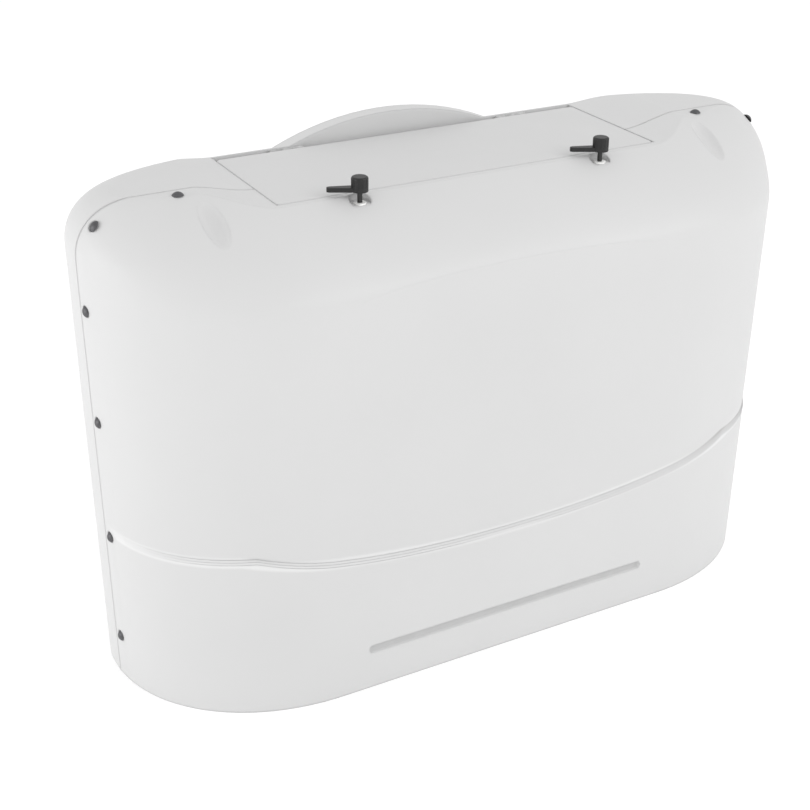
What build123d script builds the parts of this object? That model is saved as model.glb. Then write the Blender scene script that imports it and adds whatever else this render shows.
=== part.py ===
from build123d import *
import os
from math import sin, cos, sqrt, radians, degrees, atan2, pi

os.makedirs("parts", exist_ok=True)

# ---------------------------------------------------------------- driving dimensions (mm)
wall = 3.5                 # moulded wall
depth = 331.0              # front face to rear face
belt_proud = 3.5           # lower belt stands proud of the front face
half_bottom = 474.0        # half width at the widest place, bottom
half_grow = 0.012          # the half width grows slightly with height
shoulder_z = 626.0         # top of the two shoulders
deck_z = 612.0             # lid surface
front_flat = 241.0         # half length of the flat front, bottom
front_grow = 0.026         # the flat front grows with height
rear_flat = 330.0          # half length of the flat rear
front_bend = 198.0         # the front corners run back this far to the widest place
fullness = 2.12            # 2 is an ellipse, more is a fuller front corner
lean = 8.0                 # the front face leans back this much up to the start of the top slope
slope_z = 524.0            # start of the front top slope
slope_run = 150.0          # how far the slope runs back
end_round = 60.0           # rounding of the top at the two ends
rear_round = 55.0          # rounding of the top at the rear
belt_z = 181.0             # belt ledge height at the middle
belt_z_end = 221.0         # belt ledge height at the corners
hump_half = 150.0          # half length of the rear hump
hump_x = -16.0             # middle of the hump
hump_z = 639.0             # crest of the hump
hump_thick = 25.0          # front to rear size of the hump
lap = 13.0                 # the front shell laps this far past the rivet line
dish_r = 212.0             # shallow round dish on the front, open at the top slope
dish_z = 518.0
dish_depth = 5.0
groove_half = 203.0        # swaged groove low on the front
groove_z = 57.0
groove_r = 5.8
flute_x = 344.0            # fluted valley between shoulder and lip

y_front = -(depth + belt_proud) / 2 + belt_proud
y_rear = y_front + depth
y_seam = y_front + 165.0    # rivet line
y_wide = y_front + front_bend

lid_half = 262.0
lid_front = y_front + 117.0
lid_rear = y_front + 299.0
lid_plate = 3.5
lid_gap = 1.2
ledge_z = 603.0            # top of the ledge the lid sits over
ledge_width = 16.0

hinge_x = 165.0
hinge_y = y_front + 304.0
hinge_z = 609.2
barrel_r = 3.2
hinge_pin_r = 1.5
leaf_t = 1.4

latch_x = 167.0
latch_y = y_front + 99.0
pocket_z = 604.0
pocket_r = 13.0
stem_r = 3.0
arm_angle = 157.0          # the arms point to the left and a little backwards, clear of the lid
arm_len = 38.0

top_rivet_x = 363.0
rivet_z = [62.0, 208.0, 365.0, 506.0]


# ---------------------------------------------------------------- shell sections
def soft(s, p):
    """Inset fraction of a rounded edge, s = 0 at its foot and 1 at the crest."""
    s = min(max(s, 0.0), 1.0)
    return 1.0 - (1.0 - s ** p) ** (1.0 / p)


def limits(z, t):
    """Front, rear, flat half lengths and seam half width of the section at height z."""
    zz = z + t if z > 100 else z
    low = min(max(zz / slope_z, 0.0), 1.0)
    front = lean * low + slope_run * soft((zz - slope_z) / (shoulder_z + 1.5 - slope_z), 1.45)
    rear = rear_round * soft((zz - shoulder_z + rear_round) / (rear_round + 0.3), 2.0)
    end = end_round * soft((zz - shoulder_z + end_round) / (end_round + 0.3), 2.0)
    half = half_bottom + half_grow * zz - end
    return y_front + front + t, y_rear - rear - t, half - t, end


def flats(z, end):
    """Half lengths of the flat front and the flat rear at height z."""
    return front_flat + front_grow * z - 0.1 * end, rear_flat - 1.6 * end


def section(z, t, front_shift=0.0):
    yf, yr, half, end = limits(z, t)
    yf = yf - front_shift
    a, b = flats(z, end)
    steps = 6
    turn = [radians(90.0 * i / steps) for i in range(steps)] + [pi / 2]
    e = 2.0 / fullness
    fr = [Vector(a + (half - a) * sin(q) ** e, y_wide - (y_wide - yf) * abs(cos(q)) ** e, z) for q in turn]
    rr = [Vector(b + (half - b) * cos(q), y_wide + (yr - y_wide) * sin(q), z) for q in turn]
    fl = [Vector(-p.X, p.Y, z) for p in reversed(fr)]
    rl = [Vector(-p.X, p.Y, z) for p in reversed(rr)]
    edges = [Edge.make_line(fl[-1], fr[0])]
    edges.append(Edge.make_spline(fr))
    edges.append(Edge.make_spline(rr))
    edges.append(Edge.make_line(rr[-1], rl[0]))
    edges.append(Edge.make_spline(rl))
    edges.append(Edge.make_spline(fl))
    return Wire(edges)


def body(t, z_low, front_shift=0.0, z_high=None):
    """Closed solid of the cover outline moved inwards by t."""
    top = shoulder_z - t
    if z_high is not None:
        top = z_high
    marks = [z_low, 60, 130, 200, 280, 360, 440, 490, 515, 530, 545, 560]
    marks += [574, 586, 597, 606, 613, 618.5, 622.5, 625]
    levels = [z_low]
    for m in marks[1:]:
        level = m - t if m > 100 else m
        if level > z_low + 5 and level < top - 2:
            levels.append(level)
    levels.append(top)
    return Solid.make_loft([section(z, t, front_shift) for z in levels])


def trough(t):
    """Everything above the sunken deck and its ramps up to the shoulders."""
    z0 = deck_z - t
    foot = lid_half + lid_gap + 0.8
    crest = foot + 84
    low = Vector(foot, 0, z0)
    high = Vector(crest, 0, shoulder_z + 0.8 - t)
    right = Edge.make_spline([low, high], tangents=[Vector(1, 0, 0.05), Vector(1, 0, 0.05)])
    left = Edge.make_spline([Vector(-crest, 0, high.Z), Vector(-foot, 0, z0)],
                            tangents=[Vector(1, 0, -0.05), Vector(1, 0, -0.05)])
    edges = [Edge.make_line(left @ 1, low), right]
    edges.append(Edge.make_line(high, Vector(crest, 0, 700)))
    edges.append(Edge.make_line(Vector(crest, 0, 700), Vector(-crest, 0, 700)))
    edges.append(Edge.make_line(Vector(-crest, 0, 700), left @ 0))
    edges.append(left)
    return extrude(Face(Wire(edges)), amount=400, dir=(0, 1, 0), both=True)


def hump(t):
    """Arched ridge along the rear of the deck."""
    a = Vector(-hump_half - 20 + t, 0, deck_z - 12 - t)
    b = Vector(0, 0, hump_z - t)
    c = Vector(hump_half + 20 - t, 0, deck_z - 12 - t)
    arch = Edge.make_three_point_arc(a, b, c)
    d = Vector(c.X, 0, 560)
    e = Vector(a.X, 0, 560)
    outline = Wire([arch, Edge.make_line(c, d), Edge.make_line(d, e), Edge.make_line(e, a)])
    thick = hump_thick - 2 * t
    solid = extrude(Face(outline), amount=thick, dir=(0, 1, 0))
    return solid.moved(Location((hump_x, y_rear - hump_thick + t, 0)))


def box(x0, x1, y0, y1, z0, z1):
    made = Box(x1 - x0, y1 - y0, z1 - z0)
    return made.moved(Location(((x0 + x1) / 2, (y0 + y1) / 2, (z0 + z1) / 2)))


def rod(x, y, z0, z1, r):
    return Cylinder(r, z1 - z0).moved(Location((x, y, (z0 + z1) / 2)))


def belt_edge(drop):
    """Everything below the curved upper edge of the belt."""
    end = belt_z_end - drop
    arc = Edge.make_spline([Vector(345, 0, end), Vector(270, 0, belt_z + 21 - drop),
                            Vector(0, 0, belt_z - 2 - drop), Vector(-270, 0, belt_z + 21 - drop),
                            Vector(-345, 0, end)])
    edges = [Edge.make_line(Vector(-520, 0, -5), Vector(520, 0, -5))]
    edges.append(Edge.make_line(Vector(520, 0, -5), Vector(520, 0, end)))
    edges.append(Edge.make_line(Vector(520, 0, end), Vector(345, 0, end)))
    edges.append(arc)
    edges.append(Edge.make_line(Vector(-345, 0, end), Vector(-520, 0, end)))
    edges.append(Edge.make_line(Vector(-520, 0, end), Vector(-520, 0, -5)))
    return extrude(Face(Wire(edges)), amount=400, dir=(0, 1, 0), both=True)


def belt(t):
    """Proud lower belt with a stepped upper edge; it fades to nothing at the seam."""
    front_half = box(-600, 600, -400, y_seam - 6, -10, 400)
    low = -1.0 if t else 0.0
    made = None
    for proud, drop in ((0.4 * belt_proud, 0.0), (0.75 * belt_proud, 3.0), (belt_proud, 6.0)):
        band = body(t, low, proud, 240.0) & belt_edge(drop + t)
        made = band if made is None else made + band
    return made & front_half


def envelope(t):
    low = 0.0 if t == 0 else -1.0
    made = body(t, low) - trough(t)
    made = made + (hump(t) & box(-600, 600, -400, 400, deck_z - 40 - t, 700))
    return made


outer = envelope(0.0) + belt(0.0)
inner = envelope(wall) + belt(wall)
inner_b = envelope(wall + 0.25)
inner_c = envelope(2 * wall + 0.25)

# shallow dish on the front, groove low on the front, valleys beside the lip
face_tilt = degrees(atan2(lean, slope_z))
ball_r = (dish_r ** 2 + dish_depth ** 2) / (2 * dish_depth)
ball_y = y_front + lean * dish_z / slope_z + dish_depth - ball_r
outer = outer - Sphere(ball_r).moved(Location((0, ball_y, dish_z)))
inner = inner - Sphere(ball_r + wall).moved(Location((0, ball_y, dish_z)))


def groove(r):
    made = Cylinder(r, 2 * groove_half).rotate(Axis.Y, 90)
    made = made + Sphere(r).moved(Location((groove_half, 0, 0)))
    made = made + Sphere(r).moved(Location((-groove_half, 0, 0)))
    return made.moved(Location((0, y_front - belt_proud - 0.8, groove_z)))


outer = outer - groove(groove_r)
inner = inner - groove(groove_r + wall)


def face_y(x, z):
    """Front surface at (x, z)."""
    yf, yr, half, end = limits(z, 0.0)
    flat, rear_end = flats(z, end)
    u = min(max((abs(x) - flat) / (half - flat), 0.0), 1.0)
    return y_wide - (y_wide - yf) * (1.0 - u ** fullness) ** (1.0 / fullness)


def face_z(x, y):
    """Height at which the front top slope reaches y."""
    low, high = 400.0, shoulder_z
    for i in range(40):
        mid = (low + high) / 2
        if face_y(x, mid) < y:
            low = mid
        else:
            high = mid
    return low


# fluted valleys that run from front to back between the lip and the shoulders
flute_ends = (y_front + 66.0, y_front + 146.0)
for sx in (-1, 1):
    z_a = face_z(flute_x, flute_ends[0])
    z_b = face_z(flute_x, flute_ends[1])
    run = flute_ends[1] - flute_ends[0]
    tilt = degrees(atan2(z_b - z_a, run))
    long_half = 0.5 * sqrt(run * run + (z_b - z_a) ** 2) + 14.0
    flute = scale(Sphere(1.0), by=(17.0, long_half, 15.0))
    flute = flute.rotate(Axis.X, tilt)
    mid_y = (flute_ends[0] + flute_ends[1]) / 2
    mid_z = face_z(flute_x, mid_y)
    spot = Location((sx * flute_x, mid_y - 4.0, mid_z + 8.0))
    outer = outer - flute.moved(spot)
    back = scale(Sphere(1.0), by=(17.0 + wall, long_half + wall, 15.0 + wall))
    inner = inner - back.rotate(Axis.X, tilt).moved(spot)

# ledge and upstand round the lid
rim_x = lid_half + lid_gap
rim_y0 = lid_front - lid_gap
rim_y1 = y_front + 309.0
inner = inner - box(-rim_x - wall, rim_x + wall, rim_y0 - wall, rim_y1 + wall, ledge_z - wall, 700)
for sx in (-1, 1):
    inner = inner - rod(sx * latch_x, latch_y, pocket_z - wall, 700, pocket_r + wall)
shell = outer - inner
window_x = lid_half - ledge_width
window_y0 = lid_front + ledge_width
window_y1 = lid_rear - 20
shell = shell - box(-rim_x, rim_x, rim_y0, rim_y1, ledge_z, 700)
shell = shell - box(-window_x, window_x, window_y0, window_y1, 560, 700)

# latch pockets
for sx in (-1, 1):
    shell = shell - rod(sx * latch_x, latch_y, pocket_z, 700, pocket_r)
    shell = shell - rod(sx * latch_x, latch_y, 560, 700, 4.45)
    shell = shell - rod(sx * latch_x, latch_y, 580, pocket_z - wall, 9.5)

y_cut = y_seam + lap
front = shell & box(-600, 600, -400, y_cut, -10, 700)
rear = shell & box(-600, 600, y_cut + 0.5, 400, -10, 700)

# inner lip of the rear shell, lapped behind the front shell
keep_clear = box(-rim_x - wall - 0.3, rim_x + wall + 0.3, -400, 400, 560, 700)
lip = (inner_b - inner_c) & box(-600, 600, y_seam - lap, y_cut + 5, 0, 700)
joggle = (outer - inner_c) & box(-600, 600, y_cut + 0.5, y_cut + 5, 0, 700)
rear = rear + ((lip + joggle) - keep_clear)

# ---------------------------------------------------------------- seam rivets
def seam_point(z):
    yf, yr, half, end = limits(z, 0.0)
    flat, rear_end = flats(z, end)
    v = (y_wide - y_seam) / (y_wide - yf)
    return flat + (half - flat) * (1.0 - v ** fullness) ** (1.0 / fullness)


def rivet(reach):
    """Dome rivet along +Z: outer skin at z = 0, shank down, tail under the washer."""
    head = Sphere(7.93).moved(Location((0, 0, -3.73))) & rod(0, 0, 0.0, 5, 7.0)
    shank = rod(0, 0, -reach - 2.6, 0.0, 2.1)
    tail = rod(0, 0, -reach - 2.8, -reach - 1.0, 3.2)
    return head + shank + tail


stack = 2 * wall + 0.25
spots = []
for z in rivet_z:
    spots.append((seam_point(z), z, 0.0))
spots.append((seam_point(604.0), 604.0, 38.0))
spots.append((top_rivet_x, shoulder_z, 89.0))

rivets = []
washers = []
for sx in (-1, 1):
    for x, z, tilt in spots:
        y = y_seam - 5.0 if z == shoulder_z else y_seam
        turn = Location((sx * x, y, z), (0, sx * (90 - tilt), 0))
        rivets.append(rivet(stack).moved(turn))
        plate = rod(0, 0, -stack - 1.0, -stack, 5.5) - rod(0, 0, -20, 5, 2.1)
        washers.append(plate.moved(turn))
        hole = rod(0, 0, -stack - 0.5, 4, 2.1).moved(turn)
        # flat seats under the head and under the washer
        seat = rod(0, 0, 0.0, 5.5, 7.6).moved(turn)
        spot = rod(0, 0, -stack - 4.5, -stack, 6.5).moved(turn)
        front = front - hole - seat - spot
        rear = rear - hole - seat - spot

# ---------------------------------------------------------------- access lid
def soft_plate(x0, x1, y0, y1, z0, z1, corner, edge):
    plate = box(x0, x1, y0, y1, z0, z1)
    plate = fillet(plate.edges().filter_by(Axis.Z), corner)
    return fillet(plate.faces().sort_by(Axis.Z)[-1].edges(), edge)


lid = soft_plate(-lid_half, lid_half, lid_front, lid_rear, deck_z - lid_plate, deck_z, 6.0, 1.4)
rib_t = 2.6
rib_z0 = ledge_z - 2.5
rib_x = window_x - 4.0
rib_y0 = window_y0 + 4.0
rib_y1 = window_y1 - 4.0
rib_top = deck_z - lid_plate
lid = lid + box(-rib_x, rib_x, rib_y0, rib_y0 + rib_t, rib_z0, rib_top)
lid = lid + box(-rib_x, rib_x, rib_y1 - rib_t, rib_y1, rib_z0, rib_top)
for k in range(6):
    cx = -rib_x + rib_t / 2 + k * (2 * rib_x - rib_t) / 5
    lid = lid + box(cx - rib_t / 2, cx + rib_t / 2, rib_y0, rib_y1, rib_z0, rib_top)

# ---------------------------------------------------------------- foam seal on the ledge, open at the hinge side
seal_t = 5.2
seal_w = 9.0
seal_in = 3.0
sx0 = lid_half - seal_in
sy0 = lid_front + seal_in
seal = box(-sx0, sx0, sy0, sy0 + seal_w, ledge_z, ledge_z + seal_t)
for side in (-1, 1):
    xa = side * sx0
    xb = side * (sx0 - seal_w)
    seal = seal + box(min(xa, xb), max(xa, xb), sy0, lid_rear - 6, ledge_z, ledge_z + seal_t)


# ---------------------------------------------------------------- hinges
def cyl_x(x0, x1, y, z, r):
    made = Cylinder(r, x1 - x0).rotate(Axis.Y, 90)
    return made.moved(Location(((x0 + x1) / 2, y, z)))


leaf_half = 24.0
own_half = 7.4             # half width of the middle knuckle
side_in = 7.8              # inner end of the outer knuckles
lid_leaf_top = deck_z - lid_plate
lid_leaf_bot = lid_leaf_top - leaf_t
fix_leaf_top = ledge_z + leaf_t
screw_y = hinge_y - 13.0
screw_x = 15.0
rivet_x = 12.0
rivet_y = hinge_y - 4.0


def moving_leaf(cx):
    plate = box(cx - leaf_half, cx + leaf_half, hinge_y - 20, lid_rear - 0.5, lid_leaf_bot, lid_leaf_top)
    for s in (-1, 1):
        xa = cx + s * side_in
        xb = cx + s * (leaf_half - 2.0)
        plate = plate + cyl_x(min(xa, xb), max(xa, xb), hinge_y, hinge_z, barrel_r)
        plate = plate + box(min(xa, xb), max(xa, xb), lid_rear - 2, hinge_y, lid_leaf_bot, lid_leaf_top)
    plate = plate - box(cx - side_in, cx + side_in, lid_rear - 3, hinge_y + 9, 600, 620)
    plate = plate - cyl_x(cx - 60, cx + 60, hinge_y, hinge_z, hinge_pin_r)
    for s in (-1, 1):
        plate = plate - rod(cx + s * screw_x, screw_y, 600, 620, 1.6)
    return plate


def fixed_leaf(cx):
    plate = box(cx - leaf_half, cx + leaf_half, hinge_y - 20, hinge_y + 3.5, ledge_z, fix_leaf_top)
    plate = plate + cyl_x(cx - own_half, cx + own_half, hinge_y, hinge_z, barrel_r)
    web = box(cx - own_half, cx + own_half, hinge_y - 1.6, hinge_y + barrel_r, ledge_z, hinge_z)
    plate = plate + web
    plate = plate - cyl_x(cx - 60, cx + 60, hinge_y, hinge_z, hinge_pin_r + 0.06)
    for s in (-1, 1):
        plate = plate - rod(cx + s * rivet_x, rivet_y - 4.5, 590, 606, 1.6)
    return plate


def hinge_pin(cx):
    shaft = cyl_x(cx - leaf_half + 2.0, cx + leaf_half - 2.0, hinge_y, hinge_z, hinge_pin_r)
    for s in (-1, 1):
        end = cx + s * (leaf_half - 2.0)
        out = end + s * 1.2
        shaft = shaft + cyl_x(min(end, out), max(end, out), hinge_y, hinge_z, 2.4)
    return shaft


lid_screws = []
ledge_rivets = []
for cx in (-hinge_x, hinge_x):
    for s in (-1, 1):
        x = cx + s * screw_x
        top = deck_z - 0.9
        screw = rod(x, screw_y, lid_leaf_bot, top, 1.6)
        screw = screw + rod(x, screw_y, lid_leaf_bot - 1.3, lid_leaf_bot, 3.0)
        lid_screws.append(screw)
        lid = lid - rod(x, screw_y, lid_leaf_top - 1, top, 1.6)
        x = cx + s * rivet_x
        y = rivet_y - 4.5
        pop = rod(x, y, ledge_z - wall - 1.2, fix_leaf_top, 1.6)
        pop = pop + rod(x, y, fix_leaf_top, fix_leaf_top + 0.9, 3.0)
        pop = pop + rod(x, y, ledge_z - wall - 1.4, ledge_z - wall, 2.7)
        ledge_rivets.append(pop)
        rear = rear - rod(x, y, 590, 606, 1.6)

# ---------------------------------------------------------------- turn button latches
knob_r = 10.0
knob_z0 = 619.0
knob_z1 = 636.5
arm_t = 5.2
flange_t = 1.6
sock_r = 4.42
stem_run = 0.06
washer_t = 1.2
floor_z = pocket_z - wall
wave_t = 1.1
clip_t = 1.0
clip_z = floor_z - washer_t - wave_t - 0.25 - clip_t
neck_r = 2.3


def knob(cx):
    grip = Cylinder(knob_r, knob_z1 - knob_z0)
    grip = fillet(grip.faces().sort_by(Axis.Z)[-1].edges(), 2.6)
    grip = grip.moved(Location((0, 0, (knob_z0 + knob_z1) / 2)))
    for k in range(12):
        a = radians(15 + 30 * k)
        grip = grip - rod(cos(a) * (knob_r + 0.9), sin(a) * (knob_r + 0.9), knob_z0 + arm_t + 1.0, 640, 1.5)
    pts = [(0, -6.4), (arm_len - 3, -3.8), (arm_len, -2.0), (arm_len, 2.0), (arm_len - 3, 3.8), (0, 6.4)]
    arm = extrude(Face(Wire.make_polygon([Vector(x, y, knob_z0) for x, y in pts])), amount=arm_t)
    arm = fillet(arm.faces().sort_by(Axis.Z)[-1].edges(), 0.8)
    made = (grip + arm) - rod(0, 0, knob_z0 - 1, knob_z0 + 9.5, stem_r)
    return made.moved(Location((cx, latch_y, 0), (0, 0, arm_angle)))


def stem(cx):
    shaft = rod(cx, latch_y, clip_z - 2.2, knob_z0 + 9.5, stem_r)
    ring_cut = rod(cx, latch_y, clip_z - 0.05, clip_z + clip_t + 0.05, 8)
    ring_cut = ring_cut - rod(cx, latch_y, clip_z - 1, clip_z + clip_t + 1, neck_r)
    return shaft - ring_cut


def bushing(cx):
    made = rod(cx, latch_y, floor_z, pocket_z, sock_r)
    collar = rod(cx, latch_y, pocket_z, pocket_z + flange_t, 7.5)
    collar = fillet(collar.faces().sort_by(Axis.Z)[-1].edges(), 0.6)
    return (made + collar) - rod(cx, latch_y, 580, 640, stem_r + stem_run)


def ring_at(cx, z0, z1, r_out, r_in):
    return rod(cx, latch_y, z0, z1, r_out) - rod(cx, latch_y, z0 - 1, z1 + 1, r_in)


def clip(cx):
    made = ring_at(cx, clip_z, clip_z + clip_t, 5.6, neck_r + 0.04)
    slit = Box(9, 2.6, 4).moved(Location((cx + 4.5, latch_y, clip_z)))
    return made - slit


export = {}
export["front_shell"] = front
export["rear_shell"] = rear
export["seam_rivets"] = Compound(rivets)
export["seam_washers"] = Compound(washers)
export["access_lid"] = lid
export["lid_seal"] = seal
export["lid_hinge_screws"] = Compound(lid_screws)
export["ledge_hinge_rivets"] = Compound(ledge_rivets)
for side, s in (("left", -1), ("right", 1)):
    cx = s * hinge_x
    export["lid_hinge_leaf_" + side] = moving_leaf(cx)
    export["fixed_hinge_leaf_" + side] = fixed_leaf(cx)
    export["hinge_pin_" + side] = hinge_pin(cx)
    cx = s * latch_x
    w1 = floor_z
    w0 = floor_z - washer_t
    export["latch_knob_" + side] = knob(cx)
    export["latch_stem_" + side] = stem(cx)
    export["latch_bushing_" + side] = bushing(cx)
    export["latch_washer_" + side] = ring_at(cx, w0, w1, 7.0, stem_r + 0.08)
    export["latch_wave_ring_" + side] = ring_at(cx, w0 - wave_t, w0, 6.2, stem_r + 0.08)
    export["latch_clip_" + side] = clip(cx)

for name, solid in export.items():
    parts = solid.solids()
    low = solid.bounding_box().min
    high = solid.bounding_box().max
    size = [round(v, 1) for v in (low.X, high.X, low.Y, high.Y, low.Z, high.Z)]
    print(name, round(solid.volume), len(parts), solid.is_valid, size)
    export_step(solid, "parts/" + name + ".step")
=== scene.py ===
import bpy
import math
from mathutils import Matrix, Vector

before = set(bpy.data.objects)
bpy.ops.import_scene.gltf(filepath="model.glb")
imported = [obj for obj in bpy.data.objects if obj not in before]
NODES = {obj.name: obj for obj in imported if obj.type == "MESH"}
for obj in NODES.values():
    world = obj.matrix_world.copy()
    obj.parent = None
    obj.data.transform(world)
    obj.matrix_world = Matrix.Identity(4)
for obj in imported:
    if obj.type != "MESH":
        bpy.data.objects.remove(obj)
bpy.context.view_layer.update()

# Places on the front shell that carry painted shade (the groove) and a painted highlight
# (the belt ledge), in metres in the object's frame.
GROOVE_Y, GROOVE_Z = -0.1700, 0.0575
GROOVE_HALF_LENGTH, GROOVE_HALF_HEIGHT, GROOVE_HALF_DEPTH = 0.2045, 0.0040, 0.0080
LEDGE_Z = 0.1760              # height of the belt ledge in the middle
LEDGE_CURVE = 0.315           # its rise per square metre of x squared
LEDGE_MAX_RISE = 0.0412       # the rise at which it levels out
LEDGE_HALF_HEIGHT = 0.0035
FRONT_Y, FRONT_HALF_DEPTH = -0.2000, 0.1800

# The camera: millimetres, shares of the frame, degrees and metres.
LENS, SENSOR = 65.44, 36.0
SHIFT_X, SHIFT_Y = 0.0069, -0.0057
AZIMUTH, ELEVATION, ROLL = 28.787, 27.027, 0.529
CAMERA_PLACE = (-0.89679, -1.49126, 1.16874)

FLOOR_HALF = 6.0
FLOOR_GLOW = 0.12
WORLD_STRENGTH = 0.93


def grey(tone):
    return (tone, tone, tone)


# ------------------------------------------------------------------ node helpers
def new_material(name):
    mat = bpy.data.materials.new(name)
    mat.use_nodes = True
    nt = mat.node_tree
    nt.nodes.clear()
    out = nt.nodes.new("ShaderNodeOutputMaterial")
    bsdf = nt.nodes.new("ShaderNodeBsdfPrincipled")
    nt.links.new(bsdf.outputs["BSDF"], out.inputs["Surface"])
    return mat, nt, bsdf


def coords(nt):
    return nt.nodes.new("ShaderNodeTexCoord").outputs["Object"]


def noise(nt, vec, scale, detail=3.0):
    n = nt.nodes.new("ShaderNodeTexNoise")
    n.inputs["Scale"].default_value = scale
    n.inputs["Detail"].default_value = detail
    nt.links.new(vec, n.inputs["Vector"])
    return n.outputs["Fac"]


def ramp(nt, fac, stops):
    r = nt.nodes.new("ShaderNodeValToRGB")
    for element, (position, colour) in zip(r.color_ramp.elements, stops):
        element.position = position
        element.color = (*colour, 1.0)
    nt.links.new(fac, r.inputs["Fac"])
    return r.outputs["Color"]


def to_range(nt, fac, low, high):
    m = nt.nodes.new("ShaderNodeMapRange")
    m.inputs["To Min"].default_value = low
    m.inputs["To Max"].default_value = high
    nt.links.new(fac, m.inputs["Value"])
    return m.outputs["Result"]


def bump(nt, height, strength, distance, normal=None):
    b = nt.nodes.new("ShaderNodeBump")
    b.inputs["Strength"].default_value = strength
    b.inputs["Distance"].default_value = distance
    nt.links.new(height, b.inputs["Height"])
    if normal is not None:
        nt.links.new(normal, b.inputs["Normal"])
    return b.outputs["Normal"]


def rounded(nt, radius):
    """Normal that shades the edges as if rounded by this radius."""
    b = nt.nodes.new("ShaderNodeBevel")
    b.samples = 6
    b.inputs["Radius"].default_value = radius
    return b.outputs["Normal"]


def math_node(nt, kind, a, b=None):
    m = nt.nodes.new("ShaderNodeMath")
    m.operation = kind
    for socket, value in zip(m.inputs, (a, b)):
        if isinstance(value, (int, float)):
            socket.default_value = value
        elif value is not None:
            nt.links.new(value, socket)
    return m.outputs["Value"]


def near(nt, value, centre, half, soft):
    """1 where value is within half of centre, falling to 0 over soft beyond that."""
    off = math_node(nt, "ABSOLUTE", math_node(nt, "SUBTRACT", value, centre))
    m = nt.nodes.new("ShaderNodeMapRange")
    m.interpolation_type = "SMOOTHSTEP"
    m.inputs["From Min"].default_value = half
    m.inputs["From Max"].default_value = half + soft
    m.inputs["To Min"].default_value = 1.0
    m.inputs["To Max"].default_value = 0.0
    nt.links.new(off, m.inputs["Value"])
    return m.outputs["Result"]


def product(nt, first, *others):
    for other in others:
        first = math_node(nt, "MULTIPLY", first, other)
    return first


def shade(nt, colour, mask, tone):
    """Colour moved towards tone where the mask is 1."""
    m = nt.nodes.new("ShaderNodeMix")
    m.data_type = "RGBA"
    nt.links.new(mask, m.inputs["Factor"])
    nt.links.new(colour, m.inputs["A"])
    m.inputs["B"].default_value = (*tone, 1.0)
    return m.outputs["Result"]


# ------------------------------------------------------------------ materials
def painted_groove_shade_and_ledge_highlight(nt, vec, colour):
    """Painted shade in the groove, and a painted highlight along the belt ledge."""
    split = nt.nodes.new("ShaderNodeSeparateXYZ")
    nt.links.new(vec, split.inputs["Vector"])
    x, y, z = split.outputs
    # painted shade: the groove is darkened towards grey 0.46 through a speckled mask,
    # standing in for the shade inside the recess
    groove_shade_speckle = to_range(nt, noise(nt, vec, 60.0, 4.0), 0.55, 1.0)
    groove = product(nt, near(nt, z, GROOVE_Z, GROOVE_HALF_HEIGHT, 0.0025),
                     near(nt, x, 0.0, GROOVE_HALF_LENGTH, 0.003),
                     near(nt, y, GROOVE_Y, GROOVE_HALF_DEPTH, 0.001), groove_shade_speckle)
    colour = shade(nt, colour, groove, grey(0.46))
    # painted highlight: the belt ledge is lightened towards grey 0.70, standing in for the
    # light its edge catches
    rise = math_node(nt, "MINIMUM", product(nt, x, x, LEDGE_CURVE), LEDGE_MAX_RISE)
    height = math_node(nt, "SUBTRACT", z, rise)
    ledge = product(nt, near(nt, height, LEDGE_Z, LEDGE_HALF_HEIGHT, 0.0050),
                    near(nt, y, FRONT_Y, FRONT_HALF_DEPTH, 0.0300))
    return shade(nt, colour, ledge, grey(0.70))


def moulded_plastic(name, tone, edge, painted_groove_and_ledge=False):
    """White moulded polyethylene: soft sheen, fine pebble grain, slow waviness."""
    mat, nt, bsdf = new_material(name)
    vec = coords(nt)
    low = [c * 0.965 for c in tone]
    colour = ramp(nt, noise(nt, vec, 3.0), [(0.30, low), (0.70, tone)])
    # painted shade in the groove and a painted highlight on the belt ledge are added here
    if painted_groove_and_ledge:
        colour = painted_groove_shade_and_ledge_highlight(nt, vec, colour)
    nt.links.new(colour, bsdf.inputs["Base Color"])
    nt.links.new(to_range(nt, noise(nt, vec, 22.0, 4.0), 0.40, 0.52),
                 bsdf.inputs["Roughness"])
    grain = bump(nt, noise(nt, vec, 900.0, 2.0), 0.12, 0.0004, rounded(nt, edge))
    waves = bump(nt, noise(nt, vec, 9.0, 2.0), 0.25, 0.0015, grain)
    nt.links.new(waves, bsdf.inputs["Normal"])
    bsdf.inputs["IOR"].default_value = 1.5
    bsdf.inputs["Specular IOR Level"].default_value = 0.35
    return mat


def hard_plastic(name, tone, rough):
    """Small dense mouldings and painted leaves, worn a little lighter in patches."""
    mat, nt, bsdf = new_material(name)
    vec = coords(nt)
    light = [c * 1.6 + 0.002 for c in tone]
    nt.links.new(ramp(nt, noise(nt, vec, 120.0, 4.0), [(0.35, tone), (0.75, light)]),
                 bsdf.inputs["Base Color"])
    nt.links.new(to_range(nt, noise(nt, vec, 300.0), rough - 0.08, rough + 0.08),
                 bsdf.inputs["Roughness"])
    nt.links.new(bump(nt, noise(nt, vec, 1800.0), 0.15, 0.0003), bsdf.inputs["Normal"])
    return mat


def metal(name, tone, rough, metallic=1.0):
    """Plated or painted metal with dull spots."""
    mat, nt, bsdf = new_material(name)
    vec = coords(nt)
    dark = [c * 0.8 for c in tone]
    nt.links.new(ramp(nt, noise(nt, vec, 260.0, 4.0), [(0.35, dark), (0.65, tone)]),
                 bsdf.inputs["Base Color"])
    nt.links.new(to_range(nt, noise(nt, vec, 500.0), rough - 0.08, rough + 0.10),
                 bsdf.inputs["Roughness"])
    bsdf.inputs["Metallic"].default_value = metallic
    nt.links.new(bump(nt, noise(nt, vec, 1500.0), 0.1, 0.0002), bsdf.inputs["Normal"])
    return mat


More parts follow.
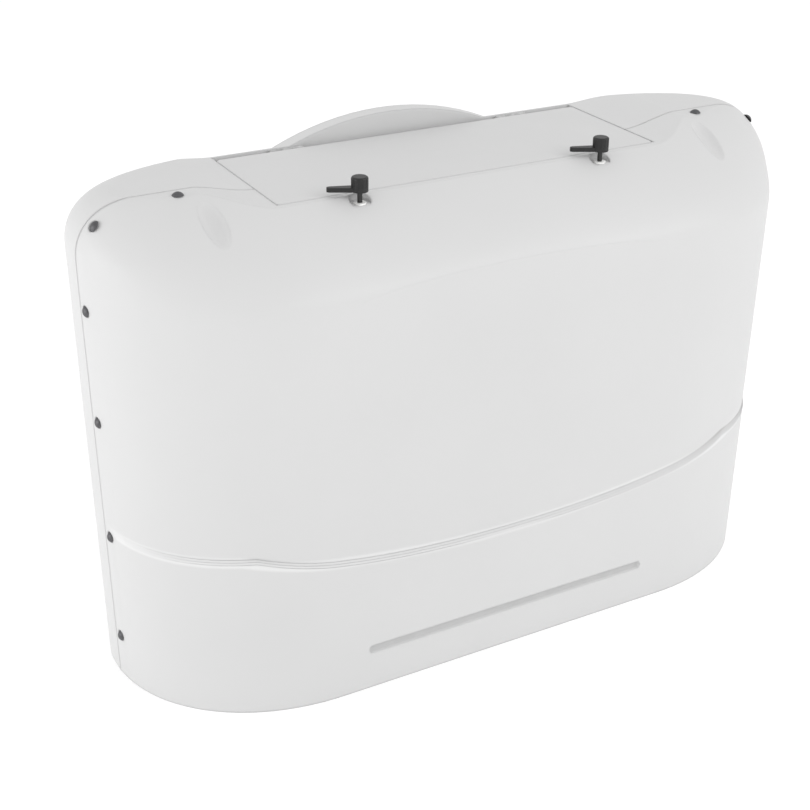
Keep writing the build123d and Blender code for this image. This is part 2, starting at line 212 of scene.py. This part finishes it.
def foam(name):
    """Dark closed-cell foam."""
    mat, nt, bsdf = new_material(name)
    cells = nt.nodes.new("ShaderNodeTexVoronoi")
    cells.inputs["Scale"].default_value = 900.0
    nt.links.new(coords(nt), cells.inputs["Vector"])
    distance = cells.outputs["Distance"]
    nt.links.new(ramp(nt, distance, [(0.0, grey(0.03)), (0.7, grey(0.08))]),
                 bsdf.inputs["Base Color"])
    bsdf.inputs["Roughness"].default_value = 0.9
    nt.links.new(bump(nt, distance, 0.5, 0.0006), bsdf.inputs["Normal"])
    return mat


# The shell carries painted shade in the groove and a painted highlight on the belt ledge;
# the lid is set a shade darker than the shell as painted shade for the top deck, which
# takes less light.
shell_mat = moulded_plastic("shell_plastic", grey(0.622), 0.005, True)
lid_mat = moulded_plastic("lid_plastic", grey(0.615), 0.002)
rivet_mat = metal("rivet_dark", (0.11, 0.11, 0.115), 0.42, 0.6)
zinc_mat = metal("zinc_steel", (0.62, 0.62, 0.61), 0.34)
hinge_mat = hard_plastic("hinge_white", grey(0.36), 0.40)
knob_mat = hard_plastic("knob_black", grey(0.004), 0.42)
stem_mat = hard_plastic("stem_black", grey(0.008), 0.36)
nylon_mat = hard_plastic("bushing_nylon", (0.70, 0.70, 0.69), 0.40)
foam_mat = foam("foam_seal")

finish_of = {
    "front_shell": shell_mat, "rear_shell": shell_mat, "access_lid": lid_mat,
    "seam_rivets": rivet_mat, "seam_washers": zinc_mat, "lid_seal": foam_mat,
    "lid_hinge_screws": zinc_mat, "ledge_hinge_rivets": zinc_mat,
}
paired_finish = {
    "lid_hinge_leaf": hinge_mat, "fixed_hinge_leaf": hinge_mat, "hinge_pin": zinc_mat,
    "latch_knob": knob_mat, "latch_stem": stem_mat, "latch_bushing": nylon_mat,
    "latch_washer": zinc_mat, "latch_wave_ring": zinc_mat, "latch_clip": zinc_mat,
}
for piece, mat in paired_finish.items():
    for side in ("left", "right"):
        finish_of[piece + "_" + side] = mat

for node, mat in finish_of.items():
    NODES[node].data.materials.clear()
    NODES[node].data.materials.append(mat)


# ------------------------------------------------------------------ camera
def look_camera():
    cam = bpy.data.cameras.new("camera")
    cam.lens = LENS
    cam.sensor_width = SENSOR
    cam.shift_x = SHIFT_X
    cam.shift_y = SHIFT_Y
    obj = bpy.data.objects.new("camera", cam)
    bpy.context.scene.collection.objects.link(obj)
    az, el, roll = map(math.radians, (AZIMUTH, ELEVATION, ROLL))
    fwd = Vector((math.sin(az) * math.cos(el), math.cos(az) * math.cos(el), -math.sin(el)))
    right = Vector((math.cos(az), -math.sin(az), 0.0))
    up = right.cross(fwd)
    rolled_right = right * math.cos(roll) + up * math.sin(roll)
    rolled_up = up * math.cos(roll) - right * math.sin(roll)
    turn = Matrix((rolled_right, rolled_up, -fwd)).transposed().to_4x4()
    obj.matrix_world = Matrix.Translation(CAMERA_PLACE) @ turn
    bpy.context.scene.camera = obj


# ------------------------------------------------------------------ floor and light
def make_floor():
    mesh = bpy.data.meshes.new("floor")
    corners = [(x * FLOOR_HALF, y * FLOOR_HALF, 0)
               for x, y in ((-1, -1), (1, -1), (1, 1), (-1, 1))]
    mesh.from_pydata(corners, [], [(0, 1, 2, 3)])
    floor = bpy.data.objects.new("floor", mesh)
    bpy.context.scene.collection.objects.link(floor)
    mat, nt, bsdf = new_material("floor")
    patches = noise(nt, coords(nt), 2.0)
    nt.links.new(ramp(nt, patches, [(0.3, grey(0.93)), (0.7, grey(0.95))]),
                 bsdf.inputs["Base Color"])
    bsdf.inputs["Roughness"].default_value = 0.9
    bsdf.inputs["Emission Color"].default_value = (1.0, 1.0, 1.0, 1.0)
    bsdf.inputs["Emission Strength"].default_value = FLOOR_GLOW
    floor.data.materials.append(mat)


def area(name, place, aim, size, power):
    light = bpy.data.lights.new(name, "AREA")
    light.shape = "RECTANGLE"
    light.size, light.size_y = size
    light.energy = power
    obj = bpy.data.objects.new(name, light)
    bpy.context.scene.collection.objects.link(obj)
    obj.location = place
    aim_line = Vector(aim) - Vector(place)
    obj.rotation_euler = aim_line.to_track_quat("-Z", "Y").to_euler()


def make_world():
    world = bpy.data.worlds.new("world")
    bpy.context.scene.world = world
    world.use_nodes = True
    bg = world.node_tree.nodes["Background"]
    bg.inputs["Color"].default_value = (1.0, 1.0, 1.0, 1.0)
    bg.inputs["Strength"].default_value = WORLD_STRENGTH


look_camera()
make_floor()
make_world()
area("left", (-3.0, 0.3, 0.9), (0.0, 0.0, 0.3), (2.0, 1.6), 24.0)
area("key", (1.7, -2.8, 2.3), (0.1, 0.0, 0.4), (1.8, 1.4), 34.0)
bpy.context.scene.view_settings.view_transform = "Standard"
